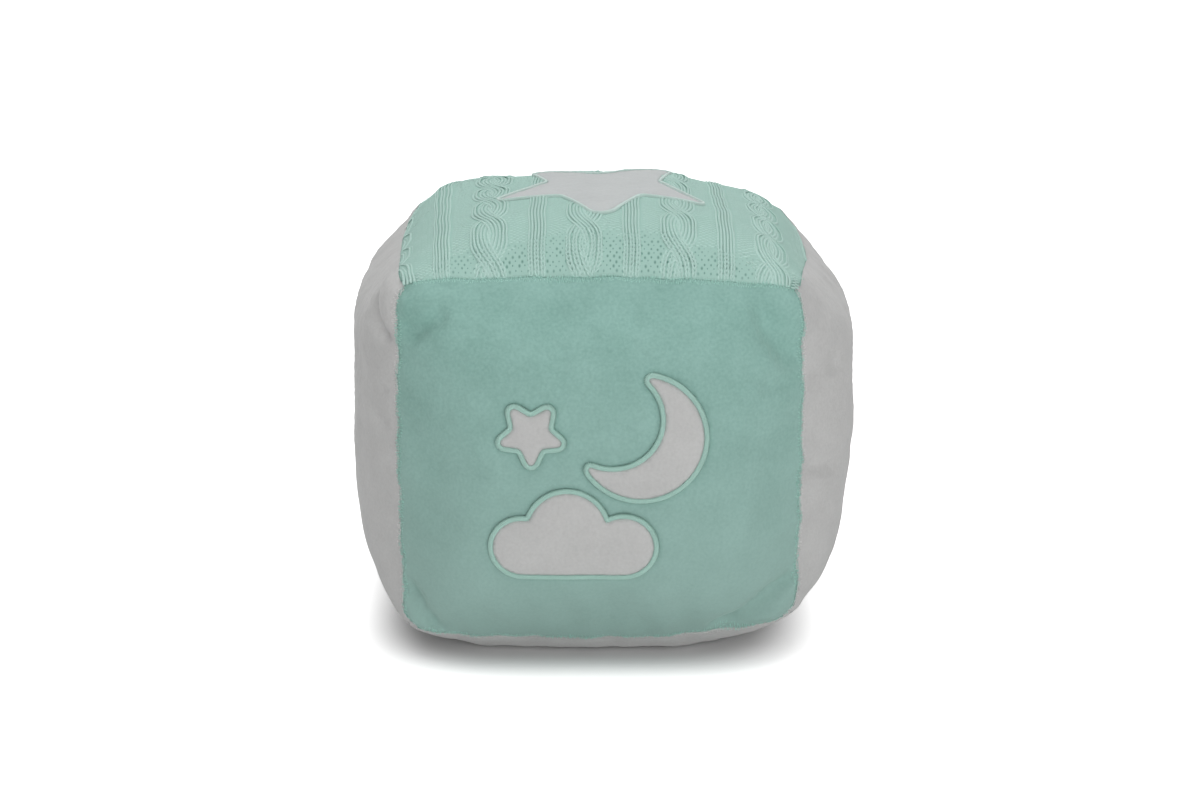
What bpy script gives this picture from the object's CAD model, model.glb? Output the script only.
"""Looks of the soft fabric block: velour and cable-knit cover, appliqued patches, seams, stuffing, studio.

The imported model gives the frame. Lengths are in millimetres inside the classes and become metres in the
meshes. u and v run from -1 to 1 between a panel's seams, across and up it as it is seen from outside.
"""

import logging
import math
from dataclasses import dataclass, field
from enum import Enum
from typing import Iterable, Optional, Sequence

import bpy
import numpy as np
from mathutils import Matrix, Vector, geometry, noise

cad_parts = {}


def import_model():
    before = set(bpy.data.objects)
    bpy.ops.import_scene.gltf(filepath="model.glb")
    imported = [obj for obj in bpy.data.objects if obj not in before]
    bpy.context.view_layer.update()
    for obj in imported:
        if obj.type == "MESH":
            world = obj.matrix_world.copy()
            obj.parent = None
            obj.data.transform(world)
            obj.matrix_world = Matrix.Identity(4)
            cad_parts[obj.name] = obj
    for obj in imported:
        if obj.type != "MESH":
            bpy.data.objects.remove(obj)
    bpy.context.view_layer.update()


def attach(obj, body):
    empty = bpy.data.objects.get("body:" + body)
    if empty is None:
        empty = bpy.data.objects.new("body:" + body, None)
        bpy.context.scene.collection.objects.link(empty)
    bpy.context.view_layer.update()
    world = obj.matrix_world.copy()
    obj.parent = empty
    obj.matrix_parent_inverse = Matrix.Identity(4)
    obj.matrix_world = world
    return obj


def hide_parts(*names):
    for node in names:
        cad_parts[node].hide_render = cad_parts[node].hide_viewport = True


LOG = logging.getLogger("soft_block")
MM = 0.001  # in metres
SEAM_HALF = 75.0  # half the distance between the upright seams, in mm
Array = np.ndarray
MeshData = tuple[Array, Array]  # points in metres, and the numbers of each face's points
Socket = bpy.types.NodeSocket


# Helpers for colour, nodes and numbers

def linear(hex_colour: str) -> tuple[float, float, float, float]:
    """Linear RGBA of an sRGB hex colour such as "8fb9af"."""
    channels = [int(hex_colour[i:i + 2], 16) / 255 for i in (0, 2, 4)]
    bent = [c / 12.92 if c <= 0.04045 else ((c + 0.055) / 1.055) ** 2.4 for c in channels]
    return (*bent, 1.0)


def add_node(
    tree: bpy.types.NodeTree, kind: str, links: Optional[dict] = None, **settings,
) -> bpy.types.Node:
    """Add a shader node.

    Args:
        tree: the node tree it goes in.
        kind: the node's type, without the ShaderNode prefix.
        links: input name or index to a socket to link, or a value to set.
        settings: attributes of the node itself.
    Returns:
        The new node.
    """
    node = tree.nodes.new(f"ShaderNode{kind}")
    for key, value in settings.items():
        setattr(node, key, value)
    for key, value in (links or {}).items():
        if isinstance(value, bpy.types.NodeSocket):
            tree.links.new(value, node.inputs[key])
        else:
            node.inputs[key].default_value = value
    return node


def ease(value: Array, start: float, end: float) -> Array:
    """Smooth step from 0 at start to 1 at end."""
    t = np.clip((value - start) / (end - start), 0.0, 1.0)
    return t * t * (3.0 - 2.0 * t)


def cubic_weights(t: Array) -> list[Array]:
    """The four Catmull-Rom weights at a fraction t between the middle two points."""
    return [
        ((2 - t) * t - 1) * t / 2,
        ((3 * t - 5) * t * t + 2) / 2,
        ((4 - 3 * t) * t + 1) * t / 2,
        (t - 1) * t * t / 2,
    ]


def bicubic(net: Array, column: Array, row: Array) -> Array:
    """Smooth values of a net of points.

    Args:
        net: array of rows, columns and components.
        column: fractional columns, one for each wanted point.
        row: fractional rows.
    Returns:
        One value for each point.
    """
    rows, columns = net.shape[:2]
    padded = np.pad(net, ((1, 1), (1, 1), (0, 0)), mode="reflect", reflect_type="odd")
    left = np.clip(np.floor(column).astype(int), 0, columns - 2)
    low = np.clip(np.floor(row).astype(int), 0, rows - 2)
    across = cubic_weights(column - left)
    up = cubic_weights(row - low)
    total = np.zeros((len(column), net.shape[2]))
    for i in range(4):
        for j in range(4):
            total += (up[i] * across[j])[:, None] * padded[low + i, left + j]
    return total


def soft_noise(u: Array, v: Array, cells: int, seed: int) -> Array:
    """Smooth noise of about -1 to 1 over a panel and a little past its seams.

    Args:
        u: places across the panel.
        v: places up it.
        cells: how many lumps lie along a side.
        seed: seed of its values.
    Returns:
        One value for each place.
    """
    margin = 1.1
    grid = np.random.default_rng(seed).uniform(-1.0, 1.0, (cells + 3, cells + 3, 1))
    scale = cells / (2 * margin)
    return bicubic(grid, (u + margin) * scale, (v + margin) * scale)[:, 0]


def blurred(net: Array, passes: int) -> Array:
    """Net of vectors smoothed by its neighbours, so that only broad changes are left.

    Args:
        net: array of rows, columns and components.
        passes: how often each point takes the mean of itself and its four neighbours.
    Returns:
        The smoothed net.
    """
    for _ in range(passes):
        padded = np.pad(net, ((1, 1), (1, 1), (0, 0)), mode="edge")
        net = (padded[:-2, 1:-1] + padded[2:, 1:-1] + padded[1:-1, :-2] + padded[1:-1, 2:] + net) / 5
    return net


# Helpers for meshes

def select_only(piece: bpy.types.Object) -> None:
    """Make a piece the only selected and the active object."""
    bpy.ops.object.select_all(action="DESELECT")
    piece.select_set(True)
    bpy.context.view_layer.objects.active = piece


def apply_modifiers(piece: bpy.types.Object) -> None:
    """Apply all of a piece's modifiers."""
    select_only(piece)
    for modifier in list(piece.modifiers):
        bpy.ops.object.modifier_apply(modifier=modifier.name)


def add_mesh(name: str, points: Array, faces: Iterable) -> bpy.types.Object:
    """Make an object from a mesh.

    Args:
        name: name of the object and its mesh.
        points: points in metres.
        faces: numbers of each face's points.
    Returns:
        The new object.
    """
    mesh = bpy.data.meshes.new(name)
    mesh.from_pydata(points.tolist(), [], faces.tolist() if isinstance(faces, np.ndarray) else list(faces))
    mesh.update()
    piece = bpy.data.objects.new(name, mesh)
    bpy.context.scene.collection.objects.link(piece)
    return piece


def read_points(mesh: bpy.types.Mesh) -> Array:
    """A mesh's vertices, as an array of one row for each."""
    flat = np.empty(len(mesh.vertices) * 3)
    mesh.vertices.foreach_get("co", flat)
    return flat.reshape(-1, 3)


def move_points(mesh: bpy.types.Mesh, points: Array) -> None:
    """Put a mesh's vertices at points in metres."""
    mesh.vertices.foreach_set("co", points.ravel())
    mesh.update()


def flat_grid(name: str, columns: int, rows: int) -> bpy.types.Object:
    """Add a flat grid that runs from -1 to 1 both ways.

    Args:
        name: name of the object.
        columns: cells across it.
        rows: cells up it.
    Returns:
        The new object.
    """
    bpy.ops.object.select_all(action="DESELECT")
    bpy.ops.mesh.primitive_grid_add(x_subdivisions=columns, y_subdivisions=rows, size=2.0)
    sheet = bpy.context.object
    sheet.name = name
    return sheet


def face_outwards(piece: bpy.types.Object, weld: float = 0.0) -> None:
    """Turn the faces of a closed mesh outwards.

    Args:
        piece: its object.
        weld: distance in mm within which its points are merged first; 0 for none.
    """
    select_only(piece)
    bpy.ops.object.mode_set(mode="EDIT")
    bpy.ops.mesh.select_all(action="SELECT")
    if weld:
        bpy.ops.mesh.remove_doubles(threshold=weld * MM)
    bpy.ops.mesh.normals_make_consistent(inside=False)
    bpy.ops.object.mode_set(mode="OBJECT")


def dress(
    piece: bpy.types.Object, finish: bpy.types.Material, nodes: Sequence[str] = (),
) -> None:
    """Give a piece its finish, its body and the solids that it stands for.

    Args:
        piece: the finished mesh object.
        finish: its material.
        nodes: solids of the construction that it replaces.
    """
    piece.data.shade_smooth()
    piece.data.materials.clear()
    piece.data.materials.append(finish)
    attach(piece, "root")
    if nodes:
        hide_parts(*nodes)
    LOG.info("%s: %d faces", piece.name, len(piece.data.polygons))


def thicken(piece: bpy.types.Object, thickness: float) -> None:
    """Give a sheet its thickness, behind its face.

    Args:
        piece: the sheet.
        thickness: its thickness in mm.
    """
    wall = piece.modifiers.new("thickness", "SOLIDIFY")
    wall.thickness = thickness * MM
    wall.offset = -1
    apply_modifiers(piece)


def quad_grid(rows: int, columns: int) -> Array:
    """Quads of a net of points, anticlockwise, from its number of rows and columns of points."""
    i, j = np.meshgrid(np.arange(rows - 1), np.arange(columns - 1), indexing="ij")
    corner = (i * columns + j).ravel()
    return np.stack([corner, corner + 1, corner + columns + 1, corner + columns], -1)


def yarn_template(
    centres: Sequence[Vector], radii: Sequence[tuple[float, float]], sides: int, crosswise: bool = False,
) -> MeshData:
    """Short length of yarn, modelled once by extruding a ring along its course.

    Args:
        centres: middle of each ring.
        radii: half width and half height of each ring.
        sides: corners of its section, 4 or 6.
        crosswise: whether the yarn runs along X, not along Y.
    Returns:
        Its points and its quads, caps included.
    """
    turn = math.pi / 2 if crosswise else 0.0
    bpy.ops.object.select_all(action="DESELECT")
    bpy.ops.mesh.primitive_circle_add(
        vertices=sides, radius=1.0, fill_type="NGON", location=centres[0], rotation=(math.pi / 2, 0, turn),
    )
    yarn = bpy.context.object
    bpy.ops.object.transform_apply(location=True, rotation=True, scale=True)
    bpy.ops.object.mode_set(mode="EDIT")
    bpy.ops.mesh.select_all(action="SELECT")
    wide = [(1.0, w, h) if crosswise else (w, 1.0, h) for w, h in radii]
    bpy.ops.transform.resize(value=wide[0], center_override=centres[0])
    for i in range(1, len(centres)):
        step = centres[i] - centres[i - 1]
        bpy.ops.mesh.extrude_region_move(TRANSFORM_OT_translate={"value": step})
        ratio = [now / before for now, before in zip(wide[i], wide[i - 1])]
        bpy.ops.transform.resize(value=ratio, center_override=centres[i])
    bpy.ops.object.mode_set(mode="OBJECT")
    face_outwards(yarn)
    points = read_points(yarn.data)
    rings = [list(polygon.vertices) for polygon in yarn.data.polygons]
    faces = [ring[:4] for ring in rings] + [[ring[0], *ring[3:]] for ring in rings if len(ring) == 6]
    bpy.data.objects.remove(yarn)
    return points, np.array(faces)


def copies(template: MeshData, origins: Array, aside: Array, along: Array, out: Array) -> MeshData:
    """Copies of a template, each in its own frame.

    Args:
        template: points and quads.
        origins: where each copy's origin goes.
        aside: its X axis, scaled.
        along: its Y axis, scaled.
        out: its Z axis, scaled.
    Returns:
        Points and quads of all the copies.
    """
    points, faces = template
    placed = (
        origins[:, None] + points[None, :, :1] * aside[:, None]
        + points[None, :, 1:2] * along[:, None] + points[None, :, 2:] * out[:, None]
    )
    shifts = np.arange(len(origins)) * len(points)
    return placed.reshape(-1, 3), (faces[None] + shifts[:, None, None]).reshape(-1, 4)


def unit(vectors: Array) -> Array:
    """Vectors of length 1."""
    return vectors / np.maximum(np.linalg.norm(vectors, axis=-1, keepdims=True), 1e-12)


def tubes(paths: Array, radius: float, aside: Array, out: Array) -> MeshData:
    """Short lengths of thread with four-sided sections.

    Args:
        paths: centre points in metres, threads by rings by 3.
        radius: thread radius in mm.
        aside: unit vectors across the thread at each ring.
        out: unit vectors square to those and to the thread.
    Returns:
        Points and quads.
    """
    count, rings = paths.shape[:2]
    corners = [(1, 0), (0, 1), (-1, 0), (0, -1)]
    points = np.stack([paths + (a * aside + b * out) * (radius * MM) for a, b in corners], 2)
    start = (np.arange(count) * rings * 4)[:, None, None]
    ring = (np.arange(rings - 1) * 4)[None, :, None]
    k = np.arange(4)[None, None, :]
    here, after = start + ring + k, start + ring + (k + 1) % 4
    body = np.stack([here, after, after + 4, here + 4], -1)
    first = start[:, 0] + np.array([[3, 2, 1, 0]])
    last = start[:, 0] + (rings - 1) * 4 + np.array([[0, 1, 2, 3]])
    return points.reshape(-1, 3), np.concatenate([body.reshape(-1, 4), first, last])


def threads(paths: Array, radius: float, out: Array) -> MeshData:
    """Tubes whose sections are square to the cloth.

    Args:
        paths: centre points in metres, threads by rings by 3.
        radius: thread radius in mm.
        out: vectors out of the cloth at each thread.
    Returns:
        Points and quads.
    """
    ahead = unit(np.gradient(paths, axis=1))
    aside = unit(np.cross(ahead, np.broadcast_to(out, paths.shape)))
    return tubes(paths, radius, aside, np.cross(aside, ahead))


def keep_above(points: Array, gap: float) -> None:
    """Lift points that would lie lower than a gap in mm above the floor."""
    points[..., 2] = np.maximum(points[..., 2], gap * MM)


def joined(parts: Sequence[MeshData]) -> MeshData:
    """One set of points and quads from several."""
    shifts = np.cumsum([0] + [len(points) for points, _ in parts[:-1]])
    points = np.concatenate([points for points, _ in parts])
    return points, np.concatenate([faces + shift for (_, faces), shift in zip(parts, shifts)])


# The stuffed form

class Side(Enum):
    """The six panels: outward normal, direction across and direction up."""

    FRONT = ("front", (0, -1, 0), (1, 0, 0), (0, 0, 1))
    BACK = ("back", (0, 1, 0), (-1, 0, 0), (0, 0, 1))
    LEFT = ("left", (-1, 0, 0), (0, -1, 0), (0, 0, 1))
    RIGHT = ("right", (1, 0, 0), (0, 1, 0), (0, 0, 1))
    TOP = ("top", (0, 0, 1), (1, 0, 0), (0, 1, 0))
    BOTTOM = ("bottom", (0, 0, -1), (1, 0, 0), (0, -1, 0))

    def __init__(self, label: str, normal: Sequence[int], across: Sequence[int], up: Sequence[int]) -> None:
        """Keep the directions as arrays."""
        self.label = label
        self.normal = np.array(normal, float)
        self.across = np.array(across, float)
        self.up = np.array(up, float)


@dataclass(frozen=True)
class Fold:
    """A crease or a soft ridge along a line on a panel.

    Attributes:
        side: the panel it is on.
        path: points in mm across and up from the panel's middle.
        depth: how far the cloth moves, in mm; negative is inwards.
        width: half width of the fold in mm.
        tip: length at each end over which it fades, in mm.
    """

    side: Side
    path: tuple[tuple[float, float], ...]
    depth: float
    width: float
    tip: float = 14.0

    def lift(self, x: Array, y: Array) -> Array:
        """How far the fold moves the cloth.

        Args:
            x: distances across from the panel's middle, in mm.
            y: distances up from it, in mm.
        Returns:
            The move outwards in mm at each place.
        """
        best = np.full(x.shape, 1e9)
        along = np.zeros(x.shape)
        run = 0.0
        for (ax, ay), (bx, by) in zip(self.path, self.path[1:]):
            length = math.hypot(bx - ax, by - ay)
            t = np.clip(((x - ax) * (bx - ax) + (y - ay) * (by - ay)) / length**2, 0, 1)
            distance = np.hypot(x - ax - t * (bx - ax), y - ay - t * (by - ay))
            nearer = distance < best
            best = np.where(nearer, distance, best)
            along = np.where(nearer, run + t * length, along)
            run += length
        fade = ease(along, 0.0, self.tip) * ease(run - along, 0.0, self.tip)
        return self.depth * np.exp(-(best / self.width) ** 2) * fade


@dataclass(frozen=True)
class Swell:
    """A broad soft dent or bulge on a panel.

    Attributes:
        side: the panel it is on.
        centre: its middle in mm across and up from the panel's middle.
        radii: its reach across and up, in mm.
        depth: how far the cloth moves, in mm; negative is inwards.
    """

    side: Side
    centre: tuple[float, float]
    radii: tuple[float, float]
    depth: float

    def lift(self, x: Array, y: Array) -> Array:
        """How far it moves the cloth outwards in mm, at distances across and up the panel in mm."""
        across, up = (x - self.centre[0]) / self.radii[0], (y - self.centre[1]) / self.radii[1]
        return self.depth * np.exp(-(across**2 + up**2))


@dataclass
class BlockForm:
    """Sizes of the stuffed cube in mm, as in the construction, and the folds its cover has settled in.

    Attributes:
        seam_half: half the distance between the seams along X, Y and Z.
        centre_height: height of the cube's centre above the floor.
        corner_pull: how far each corner is drawn in.
        top_seam_rise: how far the middle of a top seam stands above its corners.
        bottom_seam_rise: how far the middle of a bottom seam hangs below them.
        seam_power: how late a seam bends in towards its corners.
        crown_power: how late a panel bends down towards its seams.
        side_crown: how far the front and the back swell past their seams.
        left_crown: the same for the left panel.
        right_crown: the same for the right panel.
        top_crown: the same for the top panel.
        bottom_crown: the same for the bottom panel.
        corner_lift: how far the lower front right corner stands off the floor.
        shoulder_drop: how far the right side of the top sags.
        left_slide: how far the stretchy top pulls the left seam over its shoulder.
        right_slide: the same for the right seam.
        seam_wave: how far the upright seams wander.
        setback: how far the cube's centre stands behind the origin.
        folds: creases and ridges of the cover.
        swells: its dents and bulges.
    """

    seam_half: tuple[float, float, float] = (75.0, 75.0, 68.5)
    centre_height: float = 80.0
    corner_pull: float = 1.8
    top_seam_rise: float = 2.9
    bottom_seam_rise: float = 3.9
    seam_power: float = 8.0
    crown_power: float = 3.8
    side_crown: float = 24.0
    left_crown: float = 20.5
    right_crown: float = 23.1
    top_crown: float = 17.4
    bottom_crown: float = 20.0
    corner_lift: float = 4.8
    shoulder_drop: float = 2.0
    left_slide: float = 3.0
    right_slide: float = 7.0
    seam_wave: float = 0.5
    setback: float = 1.25
    folds: list[Fold] = field(default_factory=list)
    swells: list[Swell] = field(default_factory=list)

    def half(self, direction: Array) -> float:
        """Half the distance between the seams along a direction."""
        return float(np.abs(direction) @ np.array(self.seam_half))

    def crown(self, side: Side) -> float:
        """How far a panel swells past its seams.

        Args:
            side: the panel.
        Returns:
            The height of its crown in mm.
        """
        own = {
            Side.TOP: self.top_crown, Side.BOTTOM: self.bottom_crown,
            Side.LEFT: self.left_crown, Side.RIGHT: self.right_crown,
        }
        return own.get(side, self.side_crown)

    def seam_rise(self, direction: Array) -> float:
        """How far a seam's middle moves out along a direction."""
        if abs(direction[2]) < 0.5:
            return self.corner_pull
        return self.top_seam_rise if direction[2] > 0 else self.bottom_seam_rise

    def sewn(self, side: Side, u: Array, v: Array) -> Array:
        """Form of a panel before the block settles.

        Args:
            side: the panel.
            u: places across it.
            v: places up it.
        Returns:
            Points in mm from the cube's centre.
        """
        swell_u = 1 - np.abs(u) ** self.seam_power
        swell_v = 1 - np.abs(v) ** self.seam_power
        place = np.zeros((*u.shape, 3))
        for value, swell, axis in ((u, swell_v, side.across), (v, swell_u, side.up)):
            for sign in (-1, 1):
                direction = axis * sign
                corner = self.half(direction) - self.corner_pull
                length = np.clip(value * sign, 0, None) * (corner + self.seam_rise(direction) * swell)
                place += length[..., None] * direction
        seams = swell_u + swell_v - swell_u * swell_v
        crown = self.crown(side) * (1 - np.abs(u) ** self.crown_power)
        crown = crown * (1 - np.abs(v) ** self.crown_power)
        outward = self.half(side.normal) - self.corner_pull + self.seam_rise(side.normal) * seams + crown
        return place + outward[..., None] * side.normal

    def slide(self, x: Array, y: Array) -> tuple[Array, Array]:
        """How far the stretchy top has pulled the cover over its shoulders, most between the corners.

        Args:
            x: distances across from the cube's centre, in mm.
            y: distances behind it, in mm.
        Returns:
            The move over the left and the right shoulder at each place, in mm.
        """
        along = ease(y, -75.0, 10.0) * ease(-y, -75.0, -35.0)
        left = self.left_slide * along * ease(-x, 15.0, 74.0)
        return left, self.right_slide * along * ease(x, 40.0, 74.0)

    def settle(self, points: Array) -> Array:
        """Let the block stand on the floor. Each ease runs between two distances from its centre in mm.

        Args:
            points: points in mm from the cube's centre.
        Returns:
            Where they come to lie, in metres.
        """
        x, y, z = points[..., 0], points[..., 1], points[..., 2]
        lift = ease(x, 15.0, 80.0) * ease(-z, -10.0, 70.0) * ease(-y, -40.0, 70.0)
        drop = ease(x, 5.0, 80.0) * ease(z, 10.0, 70.0)
        left, right = self.slide(x, y)
        fall = (left + right) * ease(np.abs(x), 58.0, 76.0) * ease(z, 0.0, 68.0)
        wave_x, wave_z = self.seam_waves(x, y, z)
        height = z + self.centre_height + self.corner_lift * lift - self.shoulder_drop * drop
        height = height - fall + wave_z
        across = x + (right - left) * ease(z, 30.0, 69.0) + wave_x
        return np.stack([across, y + self.setback, np.maximum(height, 0.0)], -1) * MM

    def seam_waves(self, x: Array, y: Array, z: Array) -> tuple[Array, Array]:
        """How far the front and back seams wander, because the cloth is fed by hand.

        Args:
            x: distances across from the cube's centre, in mm.
            y: distances behind it, in mm.
            z: distances above it, in mm.
        Returns:
            The move to the side and the move up at each place, in mm.
        """
        wall = ease(np.abs(y), 62.0, 73.0)
        upright = wall * ease(np.abs(x), 60.0, 73.0)
        level = wall * ease(np.abs(z), 52.0, 66.0) * ease(-np.abs(x), -70.0, -55.0)
        aside = 0.6 * np.sin(z / 4.4 + 0.02 * x) + 0.4 * np.sin(z / 2.1 + 1.3)
        rise = 0.6 * np.sin(x / 4.9 + 0.5) + 0.4 * np.sin(x / 2.3)
        return self.seam_wave * aside * upright, 0.6 * self.seam_wave * rise * level

    def relief(self, side: Side, x: Array, y: Array) -> Array:
        """Height of the folds and dents of a panel.

        Args:
            side: the panel.
            x: distances across from its middle, in mm.
            y: distances up from it, in mm.
        Returns:
            The height in mm at each place.
        """
        total = np.zeros(x.shape)
        for shape in (*self.folds, *self.swells):
            if shape.side is side:
                total += shape.lift(x, y)
        return total


@dataclass
class Stuffing:
    """Cloth simulation of the sewn cube: the filling presses the cover out against seams that hold.

    Attributes:
        pressure: outward pressure.
        frames: simulated frames.
        slack: share by which the cloth is cut larger than its seams.
        cap: furthest that a point may move, in mm.
        broad: passes of smoothing that leave the broad swelling, which comes off, as the crowns have it.
        soften: passes that round the puckers, as the thick pile does.
        stiff: places that embroidery, knit or the floor holds flatter: panel, middle and radius in mm, and
            the share of the puckers left there.
    """

    pressure: float = 4.0
    frames: int = 20
    slack: float = 0.024
    cap: float = 2.6
    broad: int = 40
    soften: int = 2
    stiff: tuple[tuple[Side, tuple[float, float], float, float], ...] = (
        (Side.FRONT, (0.0, 0.0), 50.0, 0.3),
        (Side.BOTTOM, (0.0, 0.0), 95.0, 0.25),
        (Side.TOP, (0.0, 0.0), 95.0, 0.35),
    )

    def press(self, nets: dict[Side, Array]) -> dict[Side, Array]:
        """Simulate the welded nets.

        Args:
            nets: points of each panel in metres.
        Returns:
            The nets with the cloth's own pulls and puckers.
        """
        count = next(iter(nets.values())).shape[0]
        stacked = np.concatenate([net.reshape(-1, 3) for net in nets.values()])
        weld = 1e-5
        keys = np.round(stacked / weld).astype(int)
        _, first, owner = np.unique(keys, axis=0, return_index=True, return_inverse=True)
        owner = owner.reshape(-1)
        quads = np.concatenate([quad_grid(count, count) + k * count**2 for k in range(len(nets))])
        cube = add_mesh("stuffed_cube", stacked[first], owner[quads])
        tick = np.abs(np.linspace(-1, 1, count))
        rim = np.isclose(np.maximum(tick[:, None], tick[None, :]).ravel(), 1.0)
        held = cube.vertex_groups.new(name="seams")
        held.add(sorted(set(owner[np.tile(rim, len(nets))].tolist())), 1.0, "REPLACE")
        self.simulate(cube)
        moved = read_points(cube.data)[owner] - stacked
        LOG.info("cloth moved %.2f mm at most", np.linalg.norm(moved, axis=1).max() / MM)
        bpy.data.objects.remove(cube)
        result = {}
        for k, (side, net) in enumerate(nets.items()):
            shift = moved[k * count**2:(k + 1) * count**2].reshape(net.shape)
            shift = blurred(shift - blurred(shift, self.broad), self.soften)
            shift = shift * self.looseness(side, count)[..., None]
            length = np.linalg.norm(shift, axis=2, keepdims=True) / MM
            result[side] = net + shift * np.minimum(1.0, self.cap / np.maximum(length, 1e-9))
        return result

    def looseness(self, side: Side, count: int) -> Array:
        """Share of the puckers that is left over a panel.

        Args:
            side: the panel.
            count: points along a side of its net.
        Returns:
            The share at each point of the net.
        """
        ticks = np.linspace(-SEAM_HALF, SEAM_HALF, count)
        x, y = np.meshgrid(ticks, ticks)
        share = np.ones(x.shape)
        for panel, (middle_x, middle_y), radius, left in self.stiff:
            if panel is side:
                gap = np.hypot(x - middle_x, y - middle_y)
                share = share * (left + (1 - left) * ease(gap, 0.6 * radius, 1.25 * radius))
        return share

    def simulate(self, cube: bpy.types.Object) -> None:
        """Run the cloth and apply its last frame.

        Args:
            cube: the welded cube, with its group of seams that hold.
        """
        select_only(cube)
        cloth = cube.modifiers.new("cloth", "CLOTH")
        settings = cloth.settings
        settings.quality = 6
        settings.use_pressure = True
        settings.uniform_pressure_force = self.pressure
        settings.shrink_min = -self.slack
        settings.vertex_group_mass = "seams"
        settings.bending_stiffness = 0.2
        settings.effector_weights.gravity = 0.0
        scene = bpy.context.scene
        for frame in range(1, self.frames + 1):
            scene.frame_set(frame)
        bpy.ops.object.modifier_apply(modifier=cloth.name)
        scene.frame_set(1)


@dataclass
class Cover:
    """The cover as nets of points, which every sewn, knitted or embroidered piece lies on.

    Attributes:
        form: the stuffed cube's form.
        stuffing: the simulation that adds pulls and puckers, or None.
        cells: cells along a side of each net.
        nets: points of each panel in metres.
        normals: outward unit normals there.
    """

    form: BlockForm
    stuffing: Optional[Stuffing] = None
    cells: int = 44
    nets: dict[Side, Array] = field(default_factory=dict)
    normals: dict[Side, Array] = field(default_factory=dict)

    def __post_init__(self) -> None:
        """Lay the nets out, stuff them, and add the folds."""
        ticks = np.linspace(-1, 1, self.cells + 1)
        u, v = np.meshgrid(ticks, ticks)
        for side in Side:
            self.nets[side] = self.form.settle(self.form.sewn(side, u, v))
        if self.stuffing:
            self.nets = self.stuffing.press(self.nets)
        self.find_normals()
        for side in Side:
            half_x, half_y = self.form.half(side.across), self.form.half(side.up)
            rim = 0.04
            keep = ease(1 - np.abs(u), 0.0, rim) * ease(1 - np.abs(v), 0.0, rim)
            lift = self.form.relief(side, u * half_x, v * half_y) * keep * MM
            self.nets[side] = self.nets[side] + lift[..., None] * self.normals[side]
            keep_above(self.nets[side], 0.0)
        self.find_normals()

    def find_normals(self) -> None:
        """Outward normals of every net."""
        for side, net in self.nets.items():
            cross = np.cross(np.gradient(net, axis=1), np.gradient(net, axis=0))
            self.normals[side] = unit(cross)

    def centre(self) -> Array:
        """Centre of the cube in metres."""
        return np.array([0.0, self.form.setback, self.form.centre_height]) * MM

    def normal(self, side: Side, u: Array, v: Array) -> Array:
        """Outward unit normals at places on a panel."""
        return unit(bicubic(self.normals[side], (u + 1) / 2 * self.cells, (v + 1) / 2 * self.cells))

    def place(self, side: Side, u: Array, v: Array, height: Array | float = 0.0) -> Array:
        """Points over a panel.

        Args:
            side: the panel.
            u: places across it.
            v: places up it.
            height: distance above the cover's surface, in mm.
        Returns:
            World points in metres.
        """
        points = bicubic(self.nets[side], (u + 1) / 2 * self.cells, (v + 1) / 2 * self.cells)
        return points + self.normal(side, u, v) * np.broadcast_to(height, u.shape)[:, None] * MM

    def flat_place(self, side: Side, u: Array, v: Array) -> tuple[Array, Array]:
        """Distances across and up from a panel's middle, in mm, of places on it."""
        points = (self.place(side, u, v) - self.centre()) / MM
        return points @ side.across, points @ side.up

    def uv_at(self, side: Side, x: Array, y: Array) -> tuple[Array, Array]:
        """Places on a panel that stand at given distances from its middle.

        Args:
            side: the panel.
            x: distances across, in mm.
            y: distances up, in mm.
        Returns:
            The places' u and v.
        """
        u, v = x / self.form.half(side.across), y / self.form.half(side.up)
        for _ in range(6):
            at_x, at_y = self.flat_place(side, u, v)
            u = np.clip(u + (x - at_x) / self.form.half(side.across), -1, 1)
            v = np.clip(v + (y - at_y) / self.form.half(side.up), -1, 1)
        return u, v


# Finishes

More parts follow.
